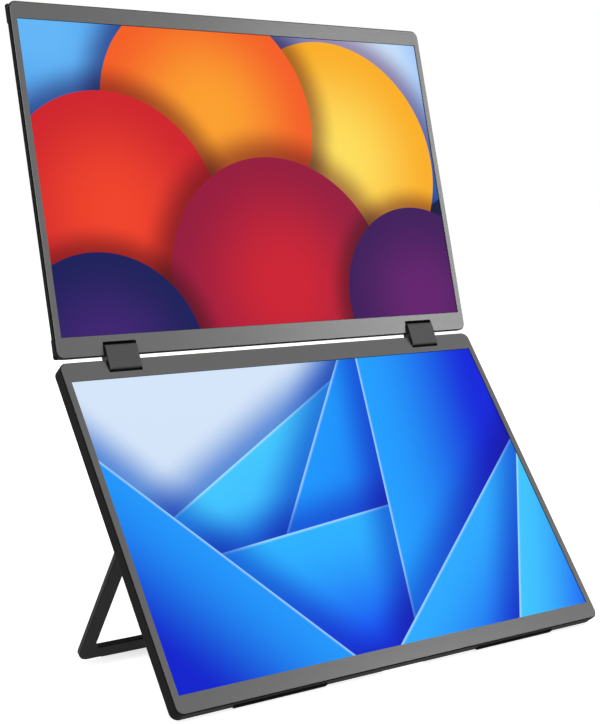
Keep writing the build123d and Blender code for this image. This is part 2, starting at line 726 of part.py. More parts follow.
# Hinges: a block with its plate and sleeves on each side, and a shaft and bracket for each display
for name, side in sides.items():
    middle = side * hinge_place
    block_start = middle - block_width / 2
    cavity_height = block_height - 2 * block_cap_wall
    bore_end = hinge_place + block_width / 2 - block_cap_wall
    bore_ends = sorted((side * bore_end, side * (hinge_place - block_width)))
    shaft_start = bracket_middle(side) - side * bracket_length / 2
    shaft_ends = sorted((side * (bore_end - shaft_end_gap), shaft_start))

    with BuildPart() as hinge_block:
        with BuildSketch(across_plane(link_centre, block_start, link_lean)) as section:
            with Locations(((block_back - block_front) / 2, 0)):
                Rectangle(block_back + block_front, block_height)
            fillet(section.vertices().group_by(Axis.X)[0], block_round)
            fillet(section.vertices().group_by(Axis.X)[-1], block_back_round)
        extrude(amount=block_width)
        fillet(hinge_block.faces().filter_by(Plane.YZ).edges(), block_edge)
        with BuildSketch(across_plane(link_centre, block_start + block_cheek, link_lean)):
            with Locations(((block_back + overrun - cavity_front) / 2, 0)):
                Rectangle(block_back + overrun + cavity_front, cavity_height)
        extrude(amount=block_width - 2 * block_cheek, mode=Mode.SUBTRACT)
        for axis in (lower_axis, upper_axis):
            rod(axis, *bore_ends, shaft_radius + running_gap, Mode.SUBTRACT)
    write(hinge_block, f"{name}_hinge_block")

    with BuildPart() as hinge_plate:
        with BuildSketch(across_plane(link_centre, block_start + block_cheek + fit_gap, link_lean)):
            with Locations((block_back - plate_thickness / 2, 0)):
                Rectangle(plate_thickness, cavity_height - 2 * fit_gap)
        extrude(amount=block_width - 2 * block_cheek - 2 * fit_gap)
    write(hinge_plate, f"{name}_hinge_plate")

    with BuildPart() as hinge_caps:
        cap_middle = (axis_spacing + block_end + cap_reach) / 2
        with BuildSketch(across_plane(link_centre, block_start + block_edge, link_lean)):
            for end in (-1, 1):
                with Locations(((cap_back - cap_front) / 2, end * cap_middle)):
                    Rectangle(cap_back + cap_front, cap_reach - block_end)
        extrude(amount=block_width - 2 * block_edge)
        cap_tips = hinge_caps.faces().sort_by(Axis(link_centre, link_tilt.y_dir))
        fillet((cap_tips[0].edges() + cap_tips[-1].edges()).filter_by(Axis.X), cap_round)
    write(hinge_caps, f"{name}_hinge_caps")

    with BuildPart() as torque_sleeves:
        for axis in (lower_axis, upper_axis):
            with BuildSketch(across_plane(axis, middle - sleeve_length / 2, link_lean)):
                Circle(shaft_radius + running_gap + sleeve_wall)
                with Locations((-cavity_front / 2, 0)):
                    Rectangle(cavity_front, sleeve_key)
                Circle(shaft_radius + running_gap, mode=Mode.SUBTRACT)
            extrude(amount=sleeve_length)
    write(torque_sleeves, f"{name}_torque_sleeves")

    with BuildPart() as lower_shaft:
        rod(lower_axis, *shaft_ends, shaft_radius)
    write(lower_shaft, f"{name}_lower_shaft")

    with BuildPart() as upper_shaft:
        rod(upper_axis, *shaft_ends, shaft_radius)
    write(upper_shaft, f"{name}_upper_shaft")

    with BuildPart() as lower_bracket:
        hinge_bracket(lower_front, 1, side, lower_axis)
    write(lower_bracket, f"{name}_lower_bracket")

    with BuildPart() as upper_bracket:
        hinge_bracket(upper_front, -1, side, upper_axis)
    write(upper_bracket, f"{name}_upper_bracket")

    # The stand's pivot on this side
    pin_ends = sorted((side * pocket_side, side * (stand_half_width - stand_pin_end)))
    bracket_centre = side * (pocket_side + stand_bracket_length / 2)
    with BuildPart() as stand_bracket:
        with BuildSketch(lower_front.offset(-recess_floor)):
            with Locations((bracket_centre, pivot_height + (bracket_above - stand_bracket_below) / 2)):
                Rectangle(stand_bracket_length, bracket_above + stand_bracket_below)
        extrude(amount=-stand_bracket_height)
        with BuildSketch(lower_front.offset(-recess_floor)):
            with Locations((bracket_centre, ear_middle)):
                Rectangle(stand_bracket_length, stand_ear)
        extrude(amount=-stand_ear_thickness)
        rod(pivot, *pin_ends, stand_pin_radius + running_gap, Mode.SUBTRACT)
        screw_holes(lower_front.offset(-recess_floor), stand_screw_places, -stand_ear_thickness)
    write(stand_bracket, f"{name}_stand_bracket")

    with BuildPart() as stand_pin:
        rod(pivot, *pin_ends, stand_pin_radius)
    write(stand_pin, f"{name}_stand_pin")

with BuildPart() as stand_screws:
    screw_group(
        lower_front.offset(-recess_floor - stand_ear_thickness),
        stand_screw_places,
        -1,
        stand_ear_thickness + screw_bite,
    )
write(stand_screws, "stand_screws")

# Folding stand: a flat U whose leg ends turn on the pins
with BuildPart() as kickstand_frame:
    with BuildSketch(stand_middle.offset(-stand_thickness / 2)) as outline:
        with Locations((0, -stand_length / 2)):
            Rectangle(2 * stand_half_width, stand_length)
        fillet(outline.vertices().group_by(Axis.Y)[0], stand_corner)
        with Locations((0, stand_bar)):
            RectangleRounded(2 * leg_inner, 2 * stand_length, stand_inner_corner, mode=Mode.SUBTRACT)
    extrude(amount=stand_thickness)
    leg_faces = kickstand_frame.faces().sort_by(Axis(pivot, stand_middle.z_dir))
    fillet(leg_faces[0].edges() + leg_faces[-1].edges(), stand_edge)
    for side in sides.values():
        leg_ends = sorted((side * stand_half_width, side * leg_inner))
        rod(pivot, *leg_ends, stand_thickness / 2)
    for side in sides.values():
        leg_ends = sorted((side * (stand_half_width + overrun), side * (leg_inner - overrun)))
        rod(pivot, *leg_ends, stand_pin_radius + running_gap, Mode.SUBTRACT)
write(kickstand_frame, "kickstand_frame")

with BuildPart() as kickstand_strip:
    with BuildSketch(stand_middle.offset(-strip_thickness / 2)):
        with Locations((0, -stand_length - strip_height / 2)):
            Rectangle(2 * strip_half_length, strip_height)
    extrude(amount=strip_thickness)
    split(bisect_by=Plane.XY, keep=Keep.TOP)
write(kickstand_strip, "kickstand_strip")

print("lower axis", lower_axis, "upper axis", upper_axis, "pivot", pivot, "stand lean", stand_lean)
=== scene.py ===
"""Dresses a dual portable monitor with its finishes and small parts, and sets its stage."""

import json
import math

import bmesh
import bpy
from bpy.props import FloatProperty, FloatVectorProperty, PointerProperty
from mathutils import Matrix, Vector


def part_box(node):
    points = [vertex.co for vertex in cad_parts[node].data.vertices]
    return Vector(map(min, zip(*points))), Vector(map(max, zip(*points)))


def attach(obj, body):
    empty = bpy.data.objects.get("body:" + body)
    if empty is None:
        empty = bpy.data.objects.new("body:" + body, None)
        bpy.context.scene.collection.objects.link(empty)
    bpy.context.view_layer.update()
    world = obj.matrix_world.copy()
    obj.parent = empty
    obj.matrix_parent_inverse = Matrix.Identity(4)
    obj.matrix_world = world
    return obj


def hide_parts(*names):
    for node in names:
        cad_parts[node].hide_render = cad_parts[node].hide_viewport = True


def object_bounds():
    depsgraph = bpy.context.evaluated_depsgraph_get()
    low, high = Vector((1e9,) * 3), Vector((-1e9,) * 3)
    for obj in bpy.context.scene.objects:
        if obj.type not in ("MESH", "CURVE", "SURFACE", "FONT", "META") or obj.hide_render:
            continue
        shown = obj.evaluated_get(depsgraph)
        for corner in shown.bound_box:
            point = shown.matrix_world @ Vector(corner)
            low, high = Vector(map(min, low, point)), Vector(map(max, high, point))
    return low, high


bl_info = {
    "name": "Dual portable monitor",
    "version": (1, 0, 0),
    "blender": (4, 5, 0),
    "location": "View3D > Sidebar > Monitor",
    "description": "Finishes, small parts and stage of a dual portable monitor",
    "category": "Object",
}

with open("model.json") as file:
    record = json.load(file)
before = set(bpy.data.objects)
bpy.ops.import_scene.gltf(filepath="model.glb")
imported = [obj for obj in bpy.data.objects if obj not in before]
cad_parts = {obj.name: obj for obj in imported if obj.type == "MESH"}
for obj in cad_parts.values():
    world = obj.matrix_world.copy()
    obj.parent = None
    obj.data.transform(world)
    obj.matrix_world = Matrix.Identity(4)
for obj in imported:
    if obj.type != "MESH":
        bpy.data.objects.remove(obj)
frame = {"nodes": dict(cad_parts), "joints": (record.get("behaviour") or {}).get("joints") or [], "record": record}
cad_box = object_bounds()
across = Vector((1, 0, 0))
merge_distance = 1e-6
flat_angle = math.radians(0.5)
sharp_angle = math.radians(35)
seal_steps = 12
collar_steps = 48
mark_steps = 24


def colour(name, text, default):
    """Colour property of a finish."""
    return FloatVectorProperty(
        name=name, description=text, subtype="COLOR", size=3, min=0, max=1, default=default
    )


def length(name, text, default):
    """Length property in metres."""
    return FloatProperty(
        name=name,
        description=text,
        subtype="DISTANCE",
        unit="LENGTH",
        min=0,
        precision=5,
        default=default,
    )


def place(name, text, default):
    """Place or direction property."""
    return FloatVectorProperty(
        name=name, description=text, subtype="XYZ", size=3, precision=4, default=default
    )


def share(name, text, default):
    """Share property, from none to all."""
    return FloatProperty(
        name=name, description=text, subtype="FACTOR", min=0, max=1, default=default
    )


def power(name, text, default):
    """Power property of a lamp, in watts."""
    return FloatProperty(
        name=name, description=text, subtype="POWER", unit="POWER", min=0, default=default
    )


def angle(name, text, degrees):
    """Angle property, given in degrees."""
    return FloatProperty(
        name=name,
        description=text,
        subtype="ANGLE",
        unit="ROTATION",
        default=math.radians(degrees),
    )


class FinishSettings(bpy.types.PropertyGroup):
    """Colours of the finishes."""

    shell: colour("Shell", "Moulded black of the rear covers", (0.01, 0.01, 0.0105))
    bezel: colour("Bezel", "Satin grey round the pictures", (0.078, 0.077, 0.076))
    hinge: colour("Hinge block", "Darker satin grey of the hinge blocks", (0.072, 0.072, 0.073))
    stand: colour("Stand", "Painted black of the folding stand", (0.006, 0.0064, 0.007))
    rubber: colour("Rubber", "Black of feet and pads", (0.006, 0.006, 0.006))
    plastic: colour("Plastic", "Black of buttons and socket bodies", (0.012, 0.012, 0.013))
    steel: colour("Steel", "Bare steel of shafts, brackets and sockets", (0.56, 0.56, 0.57))
    pivot: colour("Pivot", "Darkened steel of the stand's pivots and screws", (0.17, 0.17, 0.175))
    gold: colour("Contacts", "Plated contacts in the sockets", (0.75, 0.52, 0.2))
    board: colour("Board", "Solder mask of the circuit boards", (0.012, 0.085, 0.04))
    light_guide: colour("Light guide", "White sheet behind the screens", (0.7, 0.7, 0.7))
    marks: colour("Marks", "Printed marks on the buttons", (0.55, 0.55, 0.56))


class ShapeSettings(bpy.types.PropertyGroup):
    """Sizes of the small parts."""

    picture_width: length("Picture width", "Lit width of each screen", 0.346)
    picture_height: length("Picture height", "Lit height of each screen", 0.2168)
    edge_round: length("Edge round", "Rounding of the bezel's edges", 0.0002)
    rubber_round: length("Rubber round", "Rounding of the rubber feet and strip", 0.00015)
    pad_round: length("Pad round", "Rounding of the corner pads", 0.0014)
    button_round: length("Button round", "Rounding of the buttons' rims", 0.0002)
    seal_inner: length("Seal inner radius", "Where a hinge seal starts, from its axis", 0.005)
    seal_outer: length("Seal outer radius", "Where a hinge seal ends, from its axis", 0.0057)
    seal_angle: angle("Seal angle", "How far a hinge seal reaches to each side", 17)
    screw_head: length("Screw head", "Radius of the stand's screw heads", 0.0016)
    screw_height: length("Screw height", "Height of the stand's screw heads", 0.0009)
    recess_arm: length("Recess arm", "Length of each arm of the cross recess", 0.0009)
    recess_width: length("Recess width", "Width of the arms of the cross recess", 0.0004)
    recess_depth: length("Recess depth", "Depth of the cross recess", 0.0005)
    tongue: length("Tongue", "Thickness of the tongue in a socket", 0.0007)
    tongue_set: length("Tongue set", "How far the contacts start behind a socket's mouth", 0.0014)
    contact_length: length("Contact length", "Length of a socket's contacts", 0.0036)
    contact_depth: length("Contact depth", "How far the contacts stand off the tongue", 0.00006)
    collar_bore: length("Collar bore", "Radius of the audio socket's bore", 0.00178)
    collar_wall: length("Collar wall", "Wall of the ring round the audio socket", 0.0001)
    collar_length: length("Collar length", "Length of the ring round the audio socket", 0.0009)
    mark_size: length("Mark size", "Height of the marks on the buttons", 0.0013)
    mark_stroke: length("Mark stroke", "Width of the strokes of the marks", 0.0002)
    mark_depth: length("Mark depth", "Thickness of the printed marks", 0.00002)
    mark_opening: angle("Mark opening", "Opening at the top of the power mark's ring", 70)
    mark_rise: share("Mark rise", "Height of the power mark's stroke in its ring", 0.7)


class StageSettings(bpy.types.PropertyGroup):
    """Floor, lamps and camera."""

    floor: colour("Floor", "Pale floor", (0.82, 0.82, 0.82))
    floor_size: length("Floor size", "Side of the square floor", 30.0)
    floor_drop: length("Floor drop", "How far the floor lies under the feet", 0.0002)
    floor_lift: share("Floor lift", "Glow of the floor where it is seen directly", 0.7)
    camera: place("Camera", "Where the camera stands", (-0.6289, -0.8477, 0.3162))
    view: place("View", "Direction that the camera looks in", (0.5852, 0.8026, -0.1153))
    lens: FloatProperty(
        name="Lens",
        description="Focal length of the camera",
        subtype="DISTANCE_CAMERA",
        min=1,
        default=75.56,
    )
    key: place("Key lamp", "Where the main lamp stands", (2.1, -2.06, 0.97))
    key_power: power("Key power", "Power of the main lamp", 22)
    key_width: length("Key width", "Width of the tall main lamp", 0.55)
    key_height: length("Key height", "Height of the tall main lamp", 2.2)
    fill: place("Fill lamp", "Where the soft lamp on the left stands", (-1.2, -2.2, 1.8))
    fill_power: power("Fill power", "Power of the soft lamp", 32)
    back: place("Back lamp", "Where the lamp behind stands", (0.4, 1.8, 1.6))
    back_power: power("Back power", "Power of the back lamp", 22)
    lamp_size: length("Lamp size", "Side of the square lamps on the left and behind", 1.3)
    world_light: share("World", "Even light from all sides", 0.42)


def front_of(node):
    """Middle of a flat sheet's front, and the directions up its slope and out of its front."""
    mesh = frame["nodes"][node].data
    facing = [face for face in mesh.polygons if face.normal.y < 0]
    front = max(facing, key=lambda face: face.area)
    out = front.normal.normalized()
    low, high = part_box(node)
    middle = (low + high) / 2
    on_front = mesh.vertices[front.vertices[0]].co
    middle += out * (on_front - middle).dot(out)
    return middle, out.cross(across), out


def turned(middle, up, out):
    """Matrix that puts Y up a slope and Z out of it, at a middle."""
    turn = Matrix((up.cross(out), up, out)).transposed().to_4x4()
    return Matrix.Translation(middle) @ turn


lower_middle, lower_up, lower_out = front_of("lower_screen")
upper_middle, upper_up, upper_out = front_of("upper_screen")


def feed(tree, socket, value):
    """Set a socket to a value, or link another node's output to it."""
    if isinstance(value, bpy.types.NodeSocket):
        tree.links.new(value, socket)
    else:
        socket.default_value = value


def add(tree, kind, inputs=(), **settings):
    """One shader node with its settings and inputs."""
    node = tree.nodes.new(kind)
    for name, value in settings.items():
        setattr(node, name, value)
    for key, value in dict(inputs).items():
        feed(tree, node.inputs[key], value)
    return node


def math_node(tree, operation, *values):
    """Result of one sum of values."""
    return add(tree, "ShaderNodeMath", enumerate(values), operation=operation).outputs[0]


def vector_node(tree, operation, first, second):
    """Outputs of one sum of two vectors."""
    return add(tree, "ShaderNodeVectorMath", {0: first, 1: second}, operation=operation).outputs


def split(tree, vector):
    """X, Y and Z of a vector."""
    return add(tree, "ShaderNodeSeparateXYZ", {0: vector}).outputs


def noise_node(tree, spot, scale, detail):
    """Soft noise over the places of a surface."""
    inputs = {"Vector": spot, "Scale": scale, "Detail": detail}
    return add(tree, "ShaderNodeTexNoise", inputs).outputs[0]


def range_node(tree, value, low, high, to_low, to_high, smooth=False):
    """A value moved from one range to another, held at its ends."""
    kind = "SMOOTHSTEP" if smooth else "LINEAR"
    ends = {"Value": value, "From Min": low, "From Max": high, "To Min": to_low, "To Max": to_high}
    return add(tree, "ShaderNodeMapRange", ends, interpolation_type=kind).outputs["Result"]


def mix_node(tree, amount, first, second, blend="MIX"):
    """Two colours mixed by an amount."""
    node = add(tree, "ShaderNodeMix", data_type="RGBA", blend_type=blend)
    feed(tree, node.inputs[0], amount)
    feed(tree, node.inputs[6], first)
    feed(tree, node.inputs[7], second)
    return node.outputs[2]


def scaled_colour(tree, base, tone):
    """A colour made lighter or darker by a tone."""
    grey = add(tree, "ShaderNodeCombineColor", {0: tone, 1: tone, 2: tone}).outputs[0]
    return mix_node(tree, 1.0, base, grey, "MULTIPLY")


def new_group(name, inputs, outputs):
    """Node group with named sockets: the group, its inputs and its outputs."""
    group = bpy.data.node_groups.new(name, "ShaderNodeTree")
    for label, kind, default in inputs:
        socket = group.interface.new_socket(name=label, in_out="INPUT", socket_type=kind)
        socket.default_value = default
    for label, kind in outputs:
        group.interface.new_socket(name=label, in_out="OUTPUT", socket_type=kind)
    given = group.nodes.new("NodeGroupInput").outputs
    made = group.nodes.new("NodeGroupOutput").inputs
    return group, given, made


number, arrow, tint = "NodeSocketFloat", "NodeSocketVector", "NodeSocketColor"
dark = (0, 0, 0, 1)


def grain_group():
    """Fine moulded or painted grain: a height and a tone near one."""
    group, given, made = new_group(
        "surface_grain",
        [("Place", arrow, (0, 0, 0)), ("Grain", number, 0.0005), ("Contrast", number, 0.1)],
        [("Height", number), ("Tone", number)],
    )
    scale = math_node(group, "DIVIDE", 1.0, given["Grain"])
    noise = noise_node(group, given["Place"], scale, detail=3.0)
    low = math_node(group, "SUBTRACT", 1.0, given["Contrast"])
    high = math_node(group, "ADD", 1.0, given["Contrast"])
    group.links.new(noise, made["Height"])
    group.links.new(range_node(group, noise, 0.25, 0.75, low, high), made["Tone"])
    return group


def handling_group():
    """Roughness that wanders between a clean and a handled finish."""
    group, given, made = new_group(
        "handling",
        [("Place", arrow, (0, 0, 0)), ("Clean", number, 0.4), ("Handled", number, 0.5)],
        [("Roughness", number)],
    )
    smear_share = 0.3
    patches = noise_node(group, given["Place"], scale=14.0, detail=4.0)
    smears = noise_node(group, given["Place"], scale=160.0, detail=2.0)
    both = math_node(group, "MULTIPLY_ADD", smears, smear_share, patches)
    rough = range_node(group, both, 0.45, 0.85, given["Clean"], given["Handled"])
    group.links.new(rough, made["Roughness"])
    return group


def brushed_group():
    """Fine lines along X, as on brushed or drawn metal."""
    group, given, made = new_group(
        "brushed_lines",
        [("Place", arrow, (0, 0, 0)), ("Line", number, 0.0002)],
        [("Height", number), ("Tone", number)],
    )
    line_stretch = (0.02, 1.0, 1.0)
    stretched = vector_node(group, "MULTIPLY", given["Place"], line_stretch)["Vector"]
    scale = math_node(group, "DIVIDE", 1.0, given["Line"])
    noise = noise_node(group, stretched, scale, detail=2.0)
    group.links.new(noise, made["Height"])
    group.links.new(range_node(group, noise, 0.3, 0.7, 0.85, 1.1), made["Tone"])
    return group


def picture_edge_group():
    """Mask of the lit picture, in units of half its height."""
    group, given, made = new_group(
        "picture_edge",
        [("Place", arrow, (0, 0, 0)), ("Half width", number, 1.6)],
        [("Mask", number)],
    )
    behind_front = -0.002
    x, y, z = split(group, given["Place"])
    wide = math_node(group, "LESS_THAN", math_node(group, "ABSOLUTE", x), given["Half width"])
    tall = math_node(group, "LESS_THAN", math_node(group, "ABSOLUTE", y), 1.0)
    front = math_node(group, "GREATER_THAN", z, behind_front)
    lit = math_node(group, "MULTIPLY", math_node(group, "MULTIPLY", wide, tall), front)
    group.links.new(lit, made["Mask"])
    return group


def paper_disc_group():
    """A round sheet of paper laid over a colour, with its soft shadow."""
    group, given, made = new_group(
        "paper_disc",
        [
            ("Below", tint, dark),
            ("Place", arrow, (0, 0, 0)),
            ("Centre", arrow, (0, 0, 0)),
            ("Radius", number, 1.0),
            ("Middle", tint, dark),
            ("Rim", tint, dark),
            ("Shadow", tint, (0.42, 0.3, 0.42, 1)),
        ],
        [("Colour", tint)],
    )
    soft_edge, shadow_end = 0.003, 1.28
    away = vector_node(group, "DISTANCE", given["Place"], given["Centre"])["Value"]
    reach = math_node(group, "DIVIDE", away, given["Radius"])
    inside = range_node(group, reach, 1 - soft_edge, 1 + soft_edge, 1.0, 0.0, smooth=True)
    shade = range_node(group, reach, 0.1, 1.0, 0.0, 1.0, smooth=True)
    shadow = range_node(group, reach, 1.0, shadow_end, 1.0, 0.0, smooth=True)
    shaded = mix_node(group, shadow, given["Below"], given["Shadow"], "MULTIPLY")
    sheet = mix_node(group, shade, given["Middle"], given["Rim"])
    group.links.new(mix_node(group, inside, shaded, sheet), made["Colour"])
    return group


def angled_sheet_group():
    """A straight-edged sheet of paper laid over a colour, with a bright edge and a soft shadow."""
    group, given, made = new_group(
        "angled_sheet",
        [
            ("Below", tint, dark),
            ("Place", arrow, (0, 0, 0)),
            ("Direction", arrow, (1, 0, 0)),
            ("Start", number, 0.0),
            ("Fade", number, 1.0),
            ("Edge", tint, dark),
            ("Deep", tint, dark),
            ("Shadow", tint, (0.16, 0.34, 0.72, 1)),
        ],
        [("Colour", tint)],
    )
    soft_edge, shadow_width = 0.003, 0.3
    glint_width, glint_share, glint_colour = 0.022, 0.55, (0.62, 0.9, 1.0, 1)
    along = vector_node(group, "DOT_PRODUCT", given["Place"], given["Direction"])["Value"]
    past = math_node(group, "SUBTRACT", along, given["Start"])
    faded = math_node(group, "DIVIDE", past, given["Fade"])
    inside = range_node(group, past, -soft_edge, soft_edge, 0.0, 1.0, smooth=True)
    shade = range_node(group, faded, 0.0, 1.0, 0.0, 1.0, smooth=True)
    shadow = range_node(group, past, -shadow_width, 0.0, 0.0, 1.0, smooth=True)
    glint = range_node(group, past, 0.0, glint_width, glint_share, 0.0, smooth=True)
    shaded = mix_node(group, shadow, given["Below"], given["Shadow"], "MULTIPLY")
    sheet = mix_node(group, shade, given["Edge"], given["Deep"])
    bright = mix_node(group, glint, sheet, glint_colour)
    group.links.new(mix_node(group, inside, shaded, bright), made["Colour"])
    return group


groups = {
    build.__name__: build()
    for build in (
        grain_group,
        handling_group,
        brushed_group,
        picture_edge_group,
        paper_disc_group,
        angled_sheet_group,
    )
}


def group_node(tree, name, inputs):
    """One of the shared effects with its own values."""
    return add(tree, "ShaderNodeGroup", inputs, node_tree=groups[name]).outputs


def new_material(name):
    """Material, its nodes, its shader and its Object coordinates."""
    material = bpy.data.materials.new(name)
    material.use_nodes = True
    tree = material.node_tree
    spot = tree.nodes.new("ShaderNodeTexCoord").outputs["Object"]
    return material, tree, tree.nodes["Principled BSDF"], spot


def bump(tree, shader, height, strength, distance):
    """Relief from a height, on the shader's normal."""
    inputs = {"Height": height, "Strength": strength, "Distance": distance}
    relief = add(tree, "ShaderNodeBump", inputs)
    tree.links.new(relief.outputs[0], shader.inputs["Normal"])


def wear(tree, shader, spot, clean, handled):
    """Roughness that wanders between clean and handled, on the shader."""
    worn = group_node(
        tree, "handling_group", {"Place": spot, "Clean": clean, "Handled": handled}
    )
    tree.links.new(worn["Roughness"], shader.inputs["Roughness"])


def moulded(name, base, clean, handled, grain, depth, contrast=0.12, specular=0.1):
    """Painted or moulded finish with a fine grain and handled patches."""
    material, tree, shader, spot = new_material(name)
    texture = group_node(
        tree, "grain_group", {"Place": spot, "Grain": grain, "Contrast": contrast}
    )
    feed(tree, shader.inputs["Base Color"], scaled_colour(tree, (*base, 1), texture["Tone"]))
    wear(tree, shader, spot, clean, handled)
    shader.inputs["Specular IOR Level"].default_value = specular
    bump(tree, shader, texture["Height"], strength=0.35, distance=depth)
    return material


def rubber(name, base):
    """Dull moulded rubber."""
    return moulded(
        name, base, clean=0.7, handled=0.85, grain=0.0006, depth=0.0001, specular=0.02
    )


def side_shaded_satin(name, base, sides, clean, handled):
    """Satin finish in one colour, with painted shade in another colour on the faces that look left or right."""
    material, tree, shader, spot = new_material(name)
    normal = tree.nodes.new("ShaderNodeTexCoord").outputs["Normal"]
    sideways = math_node(tree, "ABSOLUTE", split(tree, normal)[0])
    # painted shade: the faces that look left or right are darkened towards the second colour
    side_shade_share = range_node(tree, sideways, 0.4, 0.8, 0.0, 1.0)
    texture = group_node(
        tree, "grain_group", {"Place": spot, "Grain": 0.00025, "Contrast": 0.05}
    )
    both = mix_node(tree, side_shade_share, (*base, 1), (*sides, 1))
    feed(tree, shader.inputs["Base Color"], scaled_colour(tree, both, texture["Tone"]))
    wear(tree, shader, spot, clean, handled)
    shader.inputs["Specular IOR Level"].default_value = 0.15
    bump(tree, shader, texture["Height"], strength=0.35, distance=0.00002)
    return material


def bare_metal(name, base, roughness, handling=0.12):
    """Bare metal with fine drawn lines."""
    material, tree, shader, spot = new_material(name)
    lines = group_node(tree, "brushed_group", {"Place": spot, "Line": 0.00015})
    feed(tree, shader.inputs["Base Color"], scaled_colour(tree, (*base, 1), lines["Tone"]))
    shader.inputs["Metallic"].default_value = 1.0
    wear(tree, shader, spot, roughness, roughness + handling)
    bump(tree, shader, lines["Height"], strength=0.2, distance=0.00004)
    return material


def circuit_board(name, base):
    """Solder mask with rows of fine tracks under it."""
    material, tree, shader, spot = new_material(name)
    tracks = add(
        tree,
        "ShaderNodeTexBrick",
        {
            "Vector": spot,
            "Scale": 160.0,
            "Mortar Size": 0.06,
            "Color1": (*base, 1),
            "Color2": (*base, 1),
            "Mortar": (base[0] * 3, base[1] * 2, base[2] * 2, 1),
        },
    )
    feed(tree, shader.inputs["Base Color"], tracks.outputs["Color"])
    shader.inputs["Roughness"].default_value = 0.35
    bump(tree, shader, tracks.outputs["Fac"], strength=0.2, distance=0.00004)
    return material


def speaker_cloth(name, base):
    """Fine woven cloth over the speakers."""
    material, tree, shader, spot = new_material(name)
    waves = [
        add(tree, "ShaderNodeTexWave", {"Vector": spot, "Scale": 900.0}, bands_direction=way)
        for way in ("X", "DIAGONAL")
    ]
    weave = math_node(tree, "MULTIPLY", *(wave.outputs["Fac"] for wave in waves))
    tone = range_node(tree, weave, 0.0, 1.0, 0.4, 2.2)
    feed(tree, shader.inputs["Base Color"], scaled_colour(tree, (*base, 1), tone))
    shader.inputs["Roughness"].default_value = 0.85
    bump(tree, shader, weave, strength=0.6, distance=0.0001)
    return material


def lit_screen(name, middle, out, shape, picture):
    """Screen whose picture glows, with a dark edge round it."""
    material, tree, shader, spot = new_material(name)
    half = shape.picture_height / 2
    flat = add(
        tree,
        "ShaderNodeMapping",
        {
            "Vector": spot,
            "Location": middle,
            "Rotation": (math.acos(out.z), 0, 0),
            "Scale": (half, half, half),
        },
        vector_type="TEXTURE",
    ).outputs[0]
    edge = group_node(
        tree,
        "picture_edge_group",
        {"Place": flat, "Half width": shape.picture_width / shape.picture_height},
    )
    lit = mix_node(tree, edge["Mask"], dark, picture(tree, flat))
    tree.links.new(lit, shader.inputs["Emission Color"])
    shader.inputs["Emission Strength"].default_value = 1.0
    shader.inputs["Base Color"].default_value = (0.004, 0.004, 0.005, 1)
    wear(tree, shader, spot, clean=0.42, handled=0.5)
    shader.inputs["Specular IOR Level"].default_value = 0.04
    return material


def ground(tree, flat, bottom, top):
    """Plain ground of a picture, from the colour at its bottom to that at its top."""
    rise = range_node(tree, split(tree, flat)[1], -1.0, 1.0, 0.0, 1.0)
    return mix_node(tree, rise, (*bottom, 1), (*top, 1))


def disc_picture(tree, flat):
    """Overlapping paper discs, from cool to warm."""
    picture = ground(tree, flat, (0.003, 0.007, 0.09), (0.026, 0.262, 0.831))
    discs = (  # centre, radius, colour in the middle and colour at the rim
        ((1.02, 0.78), 1.1, (0.7, 0.85, 1.0), (0.04, 0.3, 0.86)),
        ((-1.45, 0.95), 0.92, (0.12, 0.46, 0.92), (0.012, 0.14, 0.6)),
        ((0.72, 0.12), 0.86, (0.98, 0.72, 0.1), (0.95, 0.42, 0.012)),
        ((-0.28, 0.42), 0.82, (0.96, 0.34, 0.02), (0.9, 0.11, 0.012)),
        ((-1.1, -0.22), 0.78, (0.86, 0.05, 0.016), (0.62, 0.012, 0.018)),
        ((0.12, -0.74), 0.88, (0.6, 0.01, 0.026), (0.3, 0.004, 0.04)),
        ((1.3, -0.88), 0.66, (0.12, 0.008, 0.15), (0.045, 0.005, 0.1)),
        ((-1.28, -1.18), 0.7, (0.05, 0.012, 0.17), (0.006, 0.008, 0.1)),
    )
    for centre, radius, middle, rim in discs:
        picture = group_node(
            tree,
            "paper_disc_group",
            {
                "Below": picture,
                "Place": flat,
                "Centre": (*centre, 0),
                "Radius": radius,
                "Middle": (*middle, 1),
                "Rim": (*rim, 1),
            },
        )["Colour"]
    return picture


def sheet_picture(tree, flat):
    """Straight-edged paper sheets in blues, fanned over a pale ground."""
    picture = ground(tree, flat, (0.62, 0.76, 0.93), (0.66, 0.78, 0.95))
    sheets = (  # turn in degrees, start, fade, colour at the edge and colour further in
        (-62, -0.62, 1.1, (0.05, 0.56, 1.0), (0.0, 0.1, 0.9)),
        (-38, -0.3, 1.0, (0.006, 0.3, 0.98), (0.0, 0.021, 0.752)),
        (-84, 0.12, 0.9, (0.02, 0.44, 1.0), (0.0, 0.06, 0.88)),
        (-12, 0.34, 1.0, (0.01, 0.34, 1.0), (0.0, 0.015, 0.7)),
        (-52, 0.78, 0.8, (0.02, 0.4, 1.0), (0.0, 0.03, 0.8)),
        (-140, 0.92, 0.8, (0.01, 0.3, 0.96), (0.0, 0.012, 0.6)),
        (-28, 1.34, 0.7, (0.045, 0.55, 1.0), (0.0, 0.08, 0.88)),
    )
    for turn, start, fade, edge, deep in sheets:
        heading = math.radians(turn)
        picture = group_node(
            tree,
            "angled_sheet_group",
            {
                "Below": picture,
                "Place": flat,
                "Direction": (math.cos(heading), math.sin(heading), 0),
                "Start": start,
                "Fade": fade,
                "Edge": (*edge, 1),
                "Deep": (*deep, 1),
            },
        )["Colour"]
    return picture


def dress(material, *nodes):
    """Give a finish to CAD nodes."""
    for node in nodes:
        slots = frame["nodes"][node].data.materials
        slots.clear()
        slots.append(material)


